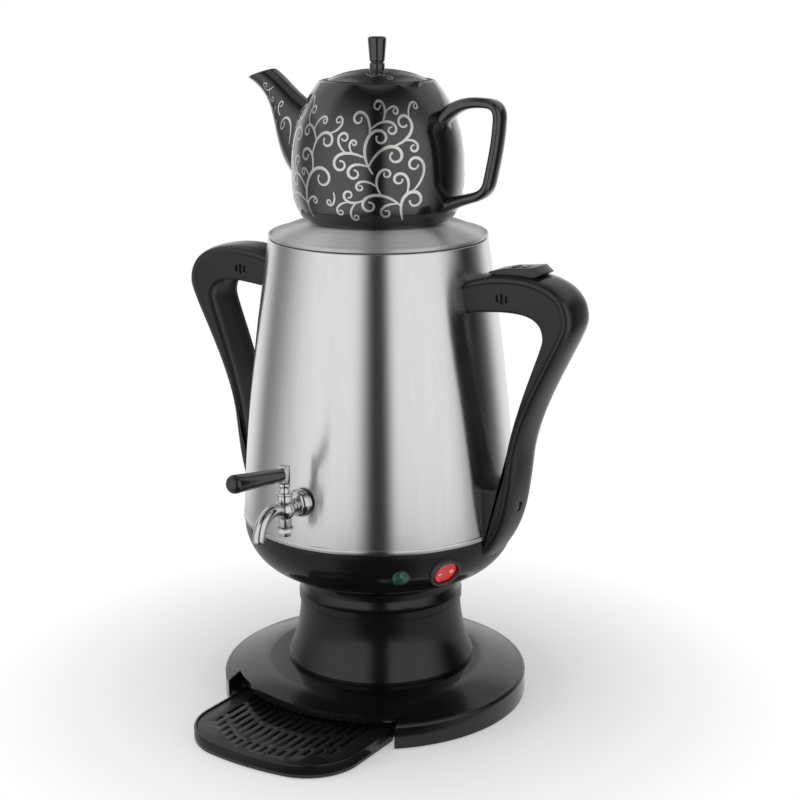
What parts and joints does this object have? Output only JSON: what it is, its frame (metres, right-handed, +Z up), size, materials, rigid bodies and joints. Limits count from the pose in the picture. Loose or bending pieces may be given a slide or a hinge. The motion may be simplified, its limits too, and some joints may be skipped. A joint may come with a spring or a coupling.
{
  "type": "electric samovar",
  "caption": "Electric samovar: brushed steel water urn on a black pedestal, with lever tap, drip tray, two arm handles, rocker switch and a glazed teapot on the lid.",
  "frame": {"origin": "on the urn's axis, at the underside of the base plate; the rubber feet reach 1 mm lower", "axes": "+Z up along the urn's axis, -Y towards the tap and drip tray, +X towards the handle with the thumb slider"},
  "size_m": [0.325, 0.2828, 0.4816],
  "materials": {
    "body_gloss_black": "polished",
    "plate_black": "moulded matt",
    "foot_rubber": "matt",
    "fixings_steel": "zinc plated",
    "tray_black": "polished",
    "grille_black": "satin",
    "insulator_ivory": "moulded matt",
    "chrome_trim": "mirror",
    "chrome_tap": "mirror",
    "tank_brushed_steel": "vertical grain",
    "lid_brushed_steel": "circular grain",
    "plate_aluminium": "cast satin",
    "element_sheath": "heat tinted",
    "seal_silicone": "matt",
    "brass_nut": "machined",
    "lever_black": "polished",
    "bezel_grey": "satin",
    "rocker_red": "moulded gloss",
    "lens_green": "translucent, faceted",
    "handle_satin_black": "satin",
    "handle_cover_black": "semi gloss",
    "pot_glazed_black": "black glaze with silver scrollwork"
  },
  "bodies": {
    "stand": {"base_shell": "body_gloss_black", "pedestal": "body_gloss_black", "neck_collar": "body_gloss_black", "bowl_housing": "body_gloss_black", "base_plate": "plate_black", "rubber_feet": "foot_rubber", "plate_screws": "fixings_steel", "pedestal_screws": "fixings_steel", "neck_screws": "fixings_steel", "handle_screws": "fixings_steel", "handle_studs": "fixings_steel", "tie_rods": "fixings_steel", "thermostat_bracket": "fixings_steel", "cord_gland": "grille_black", "terminal_block": "insulator_ivory", "lamp_holder": "insulator_ivory", "thermal_fuse": "insulator_ivory", "trim_ring": "chrome_trim", "tap_body": "chrome_tap", "tank_shell": "tank_brushed_steel", "tank_collar": "tank_brushed_steel", "tank_floor": "tank_brushed_steel", "heat_plate": "plate_aluminium", "thermostat": "plate_aluminium", "heating_element": "element_sheath", "tap_washer": "seal_silicone", "tap_inner_washer": "seal_silicone", "tap_lock_nut": "brass_nut", "rocker_contacts": "brass_nut", "switch_frame": "bezel_grey", "lamp_lens": "lens_green", "handle_right_body": "handle_satin_black", "handle_left_body": "handle_satin_black", "handle_right_cover": "handle_cover_black", "handle_left_cover": "handle_cover_black"},
    "tray": {"drip_tray": "tray_black", "tray_pads": "foot_rubber"},
    "grille": {"drip_grille": "grille_black"},
    "lid": {"top_lid": "lid_brushed_steel", "lid_skirt": "lid_brushed_steel", "lid_gasket": "seal_silicone"},
    "teapot": {"teapot_pot": "pot_glazed_black", "teapot_spout": "pot_glazed_black", "teapot_handle": "pot_glazed_black"},
    "pot_lid": {"teapot_lid": "pot_glazed_black", "teapot_knob": "pot_glazed_black"},
    "tap_key": {"tap_plug": "chrome_tap", "tap_spring_washer": "fixings_steel", "tap_plug_nut": "chrome_tap", "lever_grip": "lever_black"},
    "switch_rocker": {"rocker": "rocker_red"},
    "slider": {"thumb_slider": "handle_cover_black"}
  },
  "joints": [
    {"name": "tray_draw", "type": "slide", "parent": "stand", "child": "tray", "axis": [0, -1, 0], "range_m": [0, 0.08]},
    {"name": "grille_lift", "type": "slide", "parent": "tray", "child": "grille", "axis": [0, 0, 1], "range_m": [0, 0.005]},
    {"name": "lid_lift", "type": "slide", "parent": "stand", "child": "lid", "axis": [0, 0, 1], "range_m": [0, 0.06]},
    {"name": "teapot_lift", "type": "slide", "parent": "lid", "child": "teapot", "axis": [0, 0, 1], "range_m": [0, 0.1]},
    {"name": "pot_lid_lift", "type": "slide", "parent": "teapot", "child": "pot_lid", "axis": [0, 0, 1], "range_m": [0, 0.05]},
    {"name": "tap_turn", "type": "hinge", "parent": "stand", "child": "tap_key", "pos_m": [0, -0.11866, 0.1695], "axis": [0, 0, 1], "range_deg": [-90, 90]},
    {"name": "switch_rock", "type": "hinge", "parent": "stand", "child": "switch_rocker", "pos_m": [0.08248, -0.04572, 0.11878], "axis": [-0.3627, 0.201, -0.91], "range_deg": [0, 14]},
    {"name": "slider_push", "type": "slide", "parent": "stand", "child": "slider", "axis": [-1, 0, 0], "range_m": [0, 0.005]}
  ]
}
